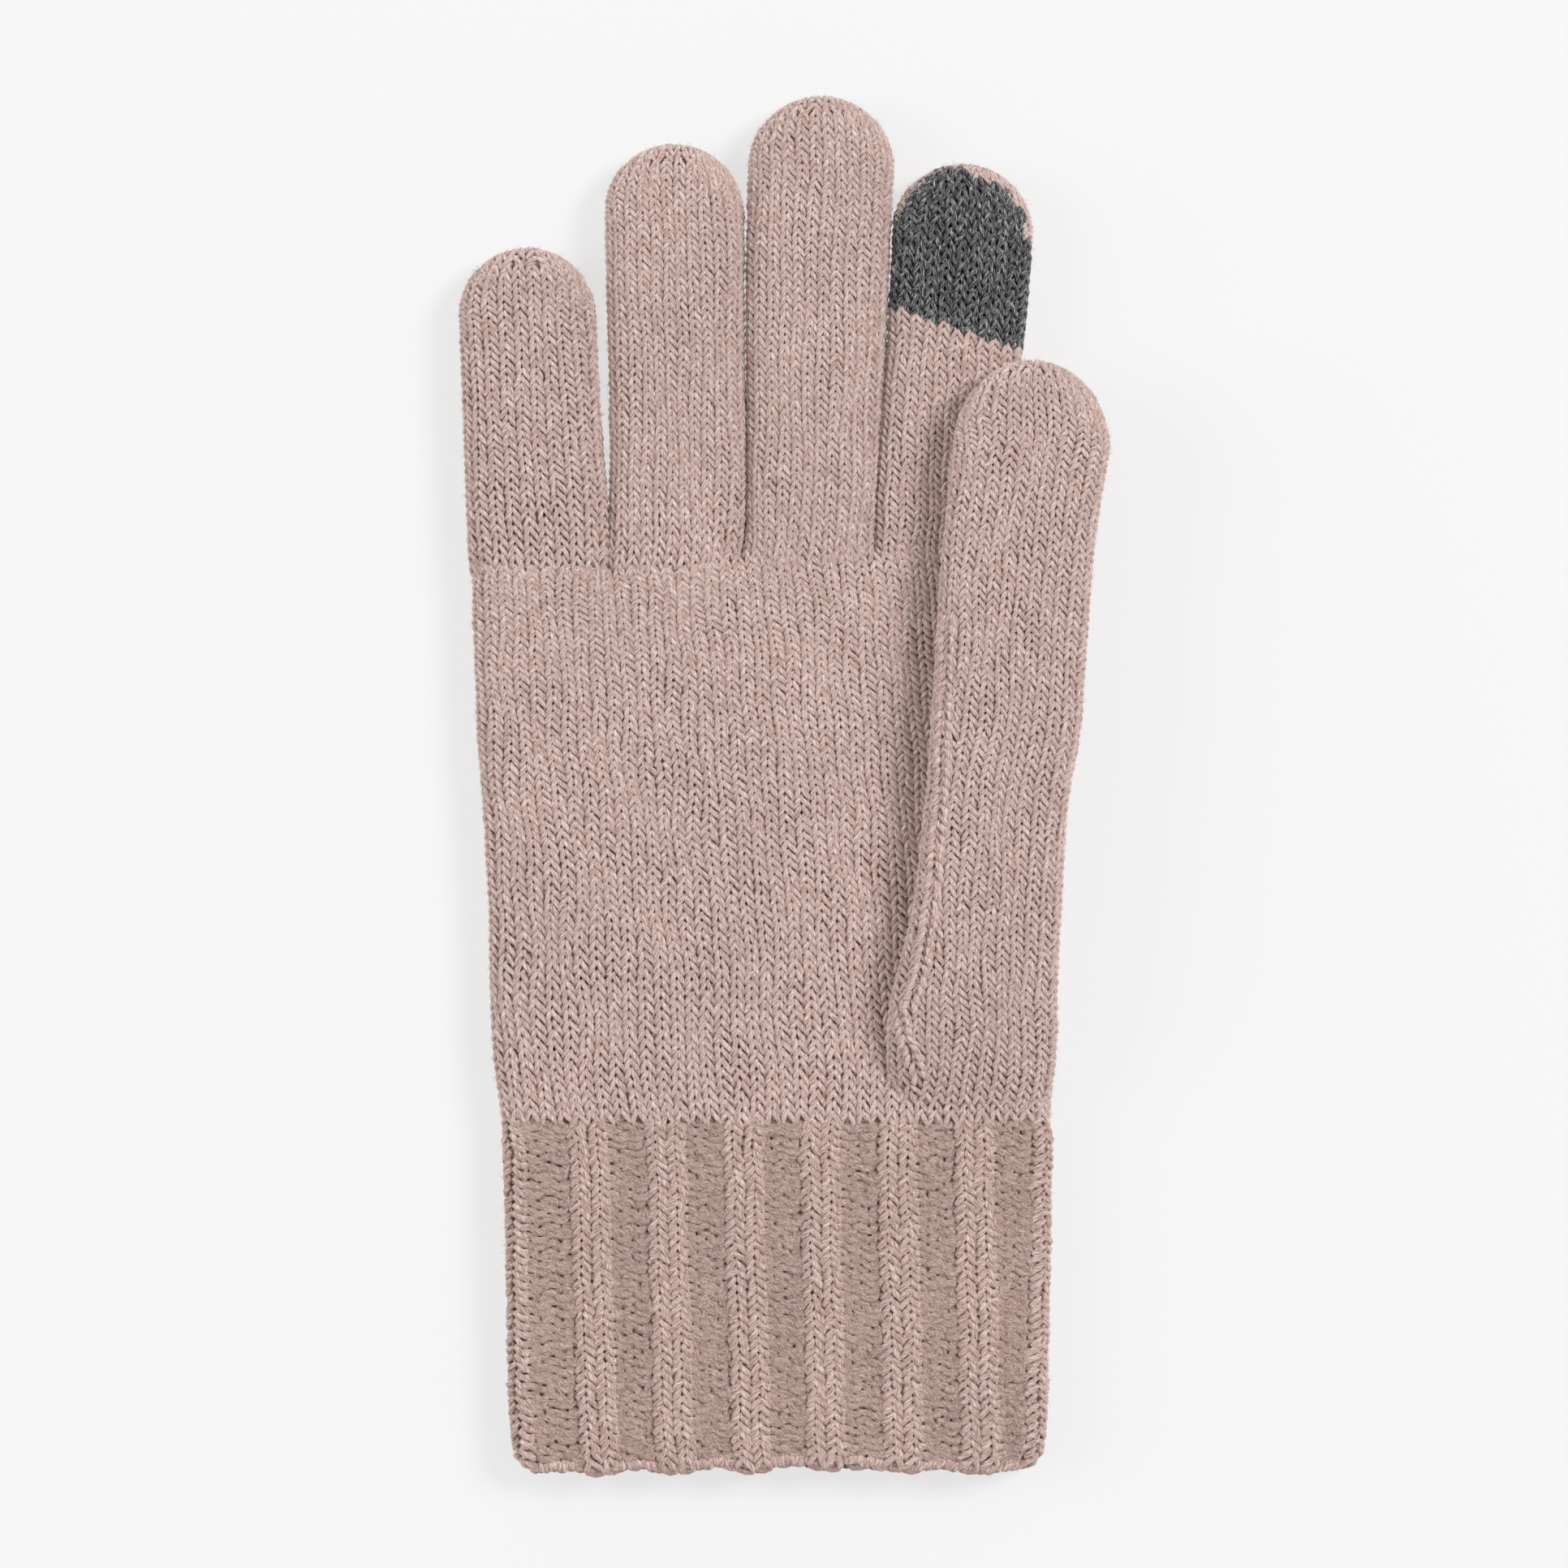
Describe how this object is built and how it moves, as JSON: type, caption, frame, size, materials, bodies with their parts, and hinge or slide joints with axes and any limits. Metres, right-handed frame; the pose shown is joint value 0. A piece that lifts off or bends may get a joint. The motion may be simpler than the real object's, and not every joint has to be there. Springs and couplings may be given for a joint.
{
  "type": "touchscreen glove",
  "caption": "Knitted right-hand glove lying on its back, thumb folded over the palm, with a rib cuff and a conductive index fingertip.",
  "frame": {"origin": "middle of the glove's footprint, on the surface its back rests on", "axes": "+X to the thumb side, +Y along the fingers to their tips, +Z out of the palm"},
  "size_m": [0.118, 0.25, 0.0182],
  "materials": {
    "knit_yarn": "dusty rose plain knit in soft two-ply yarn",
    "rib_yarn": "dusty rose rib knit, slightly darker",
    "touch_yarn": "charcoal melange conductive yarn"
  },
  "bodies": {
    "palm": {"palm_lower": "knit_yarn", "palm_upper": "knit_yarn"},
    "cuff": {"cuff_rib": "rib_yarn"},
    "little_base": {"little_base": "knit_yarn"},
    "little_mid": {"little_mid": "knit_yarn"},
    "little_tip": {"little_tip": "knit_yarn"},
    "ring_base": {"ring_base": "knit_yarn"},
    "ring_mid": {"ring_mid": "knit_yarn"},
    "ring_tip": {"ring_tip": "knit_yarn"},
    "middle_base": {"middle_base": "knit_yarn"},
    "middle_mid": {"middle_mid": "knit_yarn"},
    "middle_tip": {"middle_tip": "knit_yarn"},
    "index_base": {"index_base": "knit_yarn"},
    "index_mid": {"index_mid": "knit_yarn"},
    "index_tip": {"index_tip_back": "knit_yarn", "index_touch_pad": "touch_yarn"},
    "thumb_root": {"thumb_root": "knit_yarn"},
    "thumb_base": {"thumb_base": "knit_yarn"},
    "thumb_mid": {"thumb_mid": "knit_yarn"},
    "thumb_tip": {"thumb_tip": "knit_yarn"}
  },
  "joints": [
    {"name": "wrist_bend", "type": "hinge", "parent": "palm", "child": "cuff", "pos_m": [0, -0.0604, 0.0094], "axis": [-1, 0, 0], "range_deg": [0, 80]},
    {"name": "little_knuckle", "type": "hinge", "parent": "palm", "child": "little_base", "pos_m": [-0.0459, 0.041, 0.0094], "axis": [1, 0, 0], "range_deg": [0, 85]},
    {"name": "little_middle_joint", "type": "hinge", "parent": "little_base", "child": "little_mid", "pos_m": [-0.0459, 0.0555, 0.0094], "axis": [1, 0, 0], "range_deg": [0, 80]},
    {"name": "little_end_joint", "type": "hinge", "parent": "little_mid", "child": "little_tip", "pos_m": [-0.0459, 0.0725, 0.0094], "axis": [1, 0, 0], "range_deg": [0, 52.5]},
    {"name": "ring_knuckle", "type": "hinge", "parent": "palm", "child": "ring_base", "pos_m": [-0.0201, 0.041, 0.0094], "axis": [1, 0, 0], "range_deg": [0, 85]},
    {"name": "ring_middle_joint", "type": "hinge", "parent": "ring_base", "child": "ring_mid", "pos_m": [-0.0201, 0.0647, 0.0094], "axis": [1, 0, 0], "range_deg": [0, 90]},
    {"name": "ring_end_joint", "type": "hinge", "parent": "ring_mid", "child": "ring_tip", "pos_m": [-0.0201, 0.0887, 0.0094], "axis": [1, 0, 0], "range_deg": [0, 59]},
    {"name": "middle_knuckle", "type": "hinge", "parent": "palm", "child": "middle_base", "pos_m": [0.0053, 0.041, 0.0094], "axis": [1, 0, 0], "range_deg": [0, 85]},
    {"name": "middle_middle_joint", "type": "hinge", "parent": "middle_base", "child": "middle_mid", "pos_m": [0.0053, 0.07, 0.0094], "axis": [1, 0, 0], "range_deg": [0, 90]},
    {"name": "middle_end_joint", "type": "hinge", "parent": "middle_mid", "child": "middle_tip", "pos_m": [0.0053, 0.097, 0.0094], "axis": [1, 0, 0], "range_deg": [0, 59]},
    {"name": "index_knuckle", "type": "hinge", "parent": "palm", "child": "index_base", "pos_m": [0.0311, 0.041, 0.0094], "axis": [1, 0, 0], "range_deg": [0, 80]},
    {"name": "index_middle_joint", "type": "hinge", "parent": "index_base", "child": "index_mid", "pos_m": [0.0311, 0.0611, 0.0094], "axis": [1, 0, 0], "range_deg": [0, 80]},
    {"name": "index_end_joint", "type": "hinge", "parent": "index_mid", "child": "index_tip", "pos_m": [0.0311, 0.0831, 0.0094], "axis": [1, 0, 0], "range_deg": [0, 52.5]},
    {"name": "thumb_swing", "type": "hinge", "parent": "palm", "child": "thumb_root", "pos_m": [0.0357, -0.042, 0.0097], "axis": [0, 0, -1], "range_deg": [0, 45]},
    {"name": "thumb_lift", "type": "hinge", "parent": "thumb_root", "child": "thumb_base", "pos_m": [0.03727, -0.02407, 0.0182], "axis": [0.9962, -0.0872, 0], "range_deg": [0, 88.5]},
    {"name": "thumb_middle_joint", "type": "hinge", "parent": "thumb_base", "child": "thumb_mid", "pos_m": [0.04037, 0.0114, 0.0182], "axis": [0.9962, -0.0872, 0], "range_deg": [0, 50]},
    {"name": "thumb_end_joint", "type": "hinge", "parent": "thumb_mid", "child": "thumb_tip", "pos_m": [0.04334, 0.04527, 0.0182], "axis": [0.9962, -0.0872, 0], "range_deg": [0, 60.5]}
  ],
  "couplings": [
    {"joint": "little_end_joint", "follows": "little_middle_joint", "ratio": 0.65},
    {"joint": "ring_end_joint", "follows": "ring_middle_joint", "ratio": 0.65},
    {"joint": "middle_end_joint", "follows": "middle_middle_joint", "ratio": 0.65},
    {"joint": "index_middle_joint", "follows": "index_knuckle", "ratio": 1},
    {"joint": "index_end_joint", "follows": "index_knuckle", "ratio": 0.65},
    {"joint": "thumb_lift", "follows": "index_knuckle", "ratio": 1.1},
    {"joint": "thumb_end_joint", "follows": "thumb_middle_joint", "ratio": 1.2}
  ]
}
